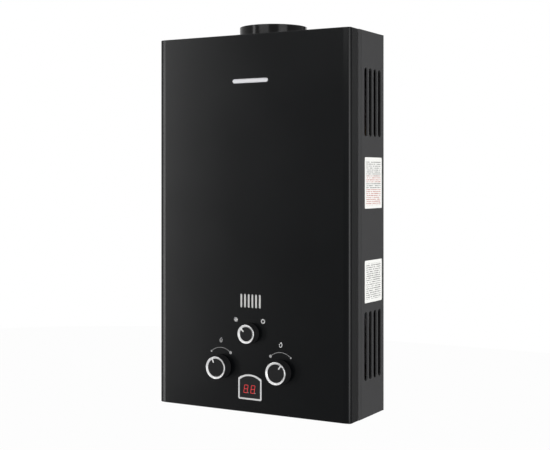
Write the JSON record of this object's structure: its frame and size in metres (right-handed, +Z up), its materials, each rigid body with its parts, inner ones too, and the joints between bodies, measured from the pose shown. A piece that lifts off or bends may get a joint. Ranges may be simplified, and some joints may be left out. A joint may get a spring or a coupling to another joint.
{
  "type": "tankless gas water heater",
  "caption": "Upright wall-hung gas water heater with a black sheet case, flue collar on top, control knobs with bright rings, sight slots and a small temperature display.",
  "frame": {"origin": "middle of the four wall holes, on the wall side of the back plate", "axes": "+X to the right seen from the front, +Y into the wall, +Z up; the front faces -Y"},
  "size_m": [0.345, 0.1514, 0.623],
  "materials": {
    "cover_black": "satin black enamel",
    "case_black": "satin black powder coat",
    "collar_black": "gloss black enamel",
    "plated_steel": "zinc plated",
    "burner_steel": "dull stainless",
    "copper": "drawn copper",
    "brass": "machined brass",
    "cast_alloy": "die cast",
    "knob_black": "fine satin",
    "ring_silver": "bright satin",
    "window_dark": "smoked",
    "pane_grey": "mica grey",
    "rubber_black": "matt",
    "plastic_black": "moulded",
    "plastic_white": "moulded",
    "ceramic": "glazed white",
    "cell": "printed sleeve, plain"
  },
  "bodies": {
    "case": {"back_plate": "plated_steel", "batteries": "cell", "battery_box": "plastic_black", "bottom_panel": "collar_black", "burner_blades": "burner_steel", "burner_frame": "plated_steel", "case_screws": "plated_steel", "cold_feed_pipe": "copper", "cold_water_inlet": "brass", "combustion_chamber": "copper", "control_box": "plastic_black", "cover_seals": "rubber_black", "diaphragm": "rubber_black", "diaphragm_cover": "brass", "diaphragm_screws": "plated_steel", "display_bezel": "ring_silver", "display_board": "plastic_black", "display_window": "window_dark", "draught_hood": "plated_steel", "electrode_bracket": "plated_steel", "electrode_insulators": "ceramic", "electrode_wires": "burner_steel", "exchanger_coil": "copper", "fin_pack": "copper", "flue_collar": "collar_black", "front_cover": "cover_black", "gas_inlet": "brass", "gas_jets": "brass", "gas_manifold": "cast_alloy", "gas_solenoid": "plastic_black", "gas_valve_body": "cast_alloy", "hot_pipe": "copper", "hot_water_outlet": "brass", "leads": "rubber_black", "left_side_panel": "case_black", "linkage_yoke": "plated_steel", "manifold_pipe": "plated_steel", "microswitch": "plastic_black", "overheat_thermostat": "plastic_black", "right_side_panel": "case_black", "sight_pane": "pane_grey", "spindle_glands": "brass", "support_brackets": "plated_steel", "top_panel": "collar_black", "union_nuts": "brass", "valve_spring": "plated_steel", "water_valve_body": "brass"},
    "gas_control": {"gas_knob": "knob_black", "gas_knob_ring": "ring_silver", "gas_spindle": "brass"},
    "water_control": {"water_knob": "knob_black", "water_knob_ring": "ring_silver", "water_spindle": "brass"},
    "season_control": {"season_knob": "knob_black", "season_knob_ring": "ring_silver", "season_spindle": "brass"},
    "linkage": {"linkage_rod": "plated_steel"},
    "plunger": {"switch_plunger": "plastic_white"},
    "lid": {"battery_lid": "plastic_black"},
    "drain": {"drain_plug": "ring_silver"}
  },
  "joints": [
    {"name": "gas_turn", "type": "hinge", "parent": "case", "child": "gas_control", "pos_m": [-0.054, -0.1, -0.2275], "axis": [0, 1, 0], "range_deg": [-15, 65]},
    {"name": "water_turn", "type": "hinge", "parent": "case", "child": "water_control", "pos_m": [0.054, -0.1, -0.2275], "axis": [0, 1, 0], "range_deg": [-77, 3]},
    {"name": "season_turn", "type": "hinge", "parent": "case", "child": "season_control", "pos_m": [0, -0.125, -0.1715], "axis": [0, 1, 0], "range_deg": [0, 98]},
    {"name": "lid_swing", "type": "hinge", "parent": "case", "child": "lid", "pos_m": [0.1405, -0.053, -0.29], "axis": [1, 0, 0], "range_deg": [0, 100]},
    {"name": "drain_turn", "type": "hinge", "parent": "case", "child": "drain", "pos_m": [0.054, -0.035, -0.2525], "axis": [0, 0, 1], "range_deg": [0, 180]},
    {"name": "linkage_slide", "type": "slide", "parent": "case", "child": "linkage", "axis": [-1, 0, 0], "range_m": [0, 0.004], "stiffness_N_per_m": 200, "springref_m": -0.01, "deforming": ["valve_spring"]},
    {"name": "plunger_slide", "type": "slide", "parent": "case", "child": "plunger", "axis": [-1, 0, 0], "range_m": [0, 0.004]}
  ],
  "couplings": [
    {"joint": "plunger_slide", "follows": "linkage_slide", "ratio": 1}
  ]
}
